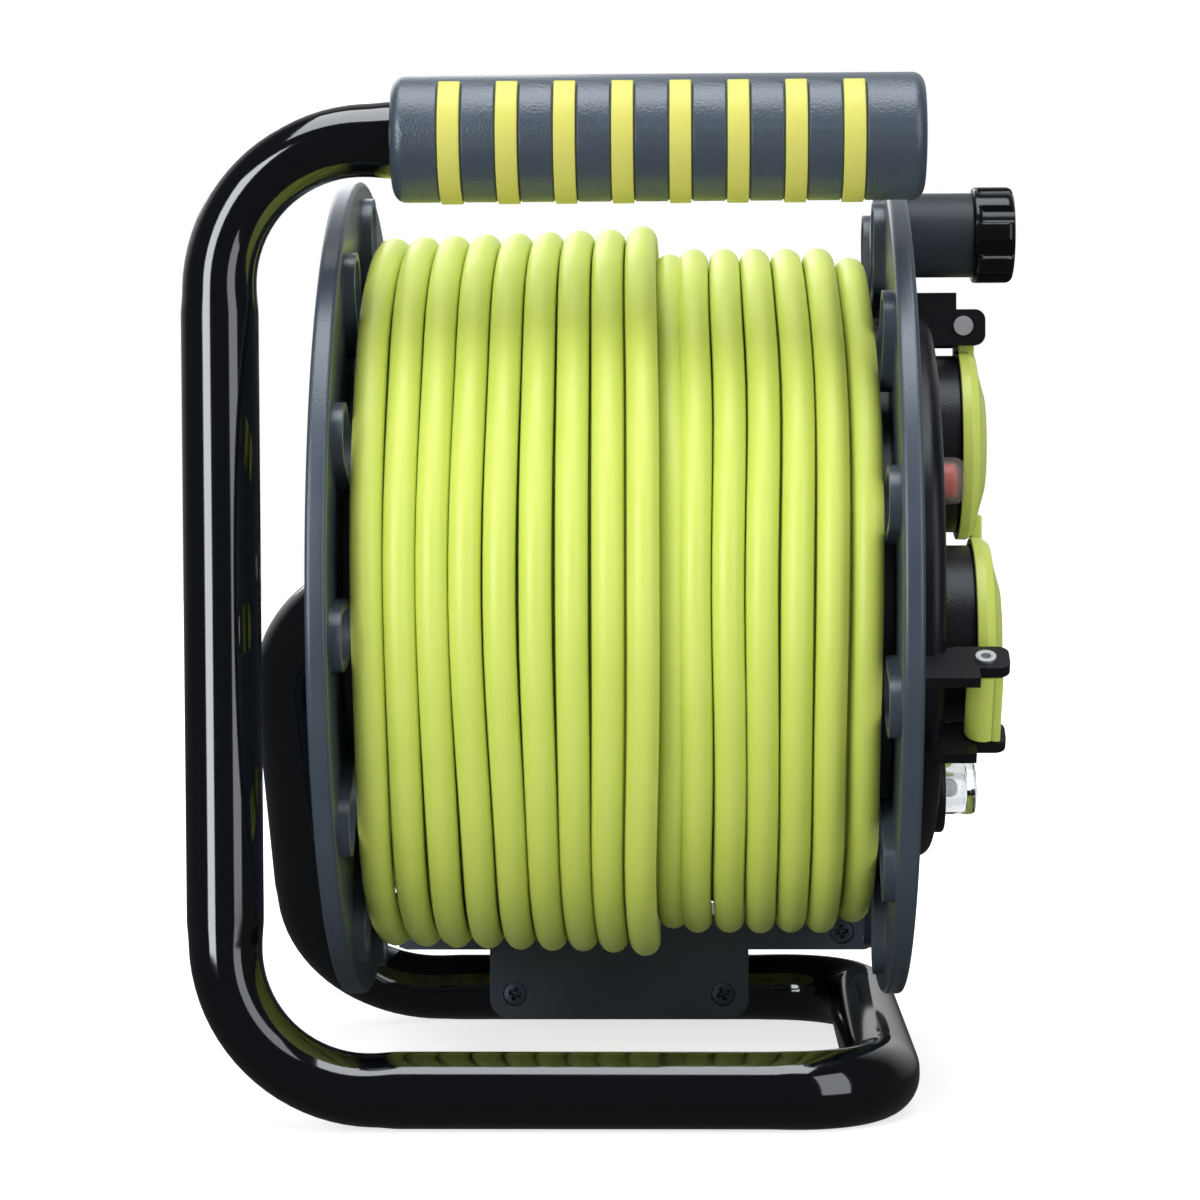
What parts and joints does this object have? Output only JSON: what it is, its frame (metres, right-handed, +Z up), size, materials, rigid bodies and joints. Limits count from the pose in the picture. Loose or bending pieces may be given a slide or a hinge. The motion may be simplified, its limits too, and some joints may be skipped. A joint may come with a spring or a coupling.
{
  "type": "extension cord reel",
  "caption": "Drum of wound power cord turning on a bent steel tube frame with a ribbed carry grip, with lidded sockets, a crank knob and a parked plug.",
  "frame": {"origin": "on the floor under the middle of the reel's box, measured without the cord and its plug", "axes": "+X along the axle toward the sockets, +Y away from the front of the reel, +Z up"},
  "size_m": [0.2212, 0.2428, 0.2721],
  "materials": {
    "black_enamel": "glossy black enamel",
    "slate_plastic": "slate grey moulded plastic, satin, fine grain",
    "lime_plastic": "lime green moulded plastic, satin",
    "cord_sheath": "lime green cord sheath, satin",
    "black_plastic": "black moulded plastic, fine grain",
    "dark_grey_plastic": "dark grey moulded plastic, satin",
    "plug_rubber": "black rubber",
    "zinc_steel": "zinc plated steel",
    "contact_brass": "plain brass",
    "nylon": "off-white nylon",
    "wire_sheath": "brown lead insulation",
    "seal_rubber": "dark grey soft seal",
    "smoky_clear": "warm grey translucent soft plastic",
    "clear_lens": "clear moulded lens",
    "red_plastic": "red moulded plastic",
    "frosted_bulb": "frosted lamp body"
  },
  "bodies": {
    "frame": {"frame_tube": "black_enamel", "riser_tube": "black_enamel", "tube_spigot": "zinc_steel", "grip": "slate_plastic", "grip_bands": "lime_plastic", "tube_end_plug": "black_plastic", "clamp_plate": "slate_plastic", "plug_holder": "slate_plastic", "holder_screws": "zinc_steel", "axle_insert": "zinc_steel", "axle_collar": "zinc_steel", "end_washer": "zinc_steel", "end_bolt": "zinc_steel", "plug_body": "plug_rubber", "plug_pins": "contact_brass", "plug_earth_strips": "contact_brass", "cord_lead": "cord_sheath"},
    "drum": {"flange_left": "slate_plastic", "flange_right": "slate_plastic", "drum_core": "slate_plastic", "hub_left": "slate_plastic", "hub_right": "slate_plastic", "bush_left": "nylon", "bush_right": "nylon", "drum_screws": "zinc_steel", "cord_core": "cord_sheath", "cord_winding": "cord_sheath", "cord_gland": "black_plastic", "cord_tail": "cord_sheath", "cord_clamp": "black_plastic", "terminal_block": "nylon", "wires": "wire_sheath", "socket_panel": "black_plastic", "panel_screws": "zinc_steel", "socket_1": "black_plastic", "socket_2": "black_plastic", "socket_3": "black_plastic", "contact_sleeves": "contact_brass", "earth_clips": "contact_brass", "hinge_pins": "zinc_steel", "lid_springs": "zinc_steel", "cutout_body": "dark_grey_plastic", "cutout_cap": "smoky_clear", "lamp_base": "black_plastic", "lamp_bulb": "frosted_bulb", "lamp_lens": "clear_lens", "crank_post": "dark_grey_plastic", "crank_screw": "zinc_steel", "crank_spindle": "zinc_steel"},
    "knob": {"crank_knob": "black_plastic"},
    "button": {"reset_button": "red_plastic"},
    "lid_1": {"lid_1": "lime_plastic", "lid_gasket_1": "seal_rubber"},
    "lid_2": {"lid_2": "lime_plastic", "lid_gasket_2": "seal_rubber"},
    "lid_3": {"lid_3": "lime_plastic", "lid_gasket_3": "seal_rubber"}
  },
  "joints": [
    {"name": "drum_spin", "type": "hinge", "parent": "frame", "child": "drum", "pos_m": [0.00153, -0.00768, 0.1375], "axis": [1, 0, 0], "continuous": true, "deforming": ["cord_lead"]},
    {"name": "knob_spin", "type": "hinge", "parent": "drum", "child": "knob", "pos_m": [0.09938, -0.00768, 0.2356], "axis": [1, 0, 0], "continuous": true},
    {"name": "lid_1_hinge", "type": "hinge", "parent": "drum", "child": "lid_1", "pos_m": [0.09677, 0.00093, 0.2103], "axis": [0, -1, 0], "range_deg": [0, 95], "stiffness_Nm_per_rad": 0.012, "springref_deg": -51.57},
    {"name": "lid_2_hinge", "type": "hinge", "parent": "drum", "child": "lid_2", "pos_m": [0.09677, -0.07502, 0.10855], "axis": [0, 0.5, -0.866], "range_deg": [0, 95], "stiffness_Nm_per_rad": 0.012, "springref_deg": -51.57},
    {"name": "lid_3_hinge", "type": "hinge", "parent": "drum", "child": "lid_3", "pos_m": [0.09677, 0.05107, 0.09365], "axis": [0, 0.5, 0.866], "range_deg": [0, 95], "stiffness_Nm_per_rad": 0.012, "springref_deg": -51.57},
    {"name": "button_slide", "type": "slide", "parent": "drum", "child": "button", "axis": [1, 0, 0], "range_m": [-0.002, 0], "stiffness_N_per_m": 500, "springref_m": 0.001}
  ]
}
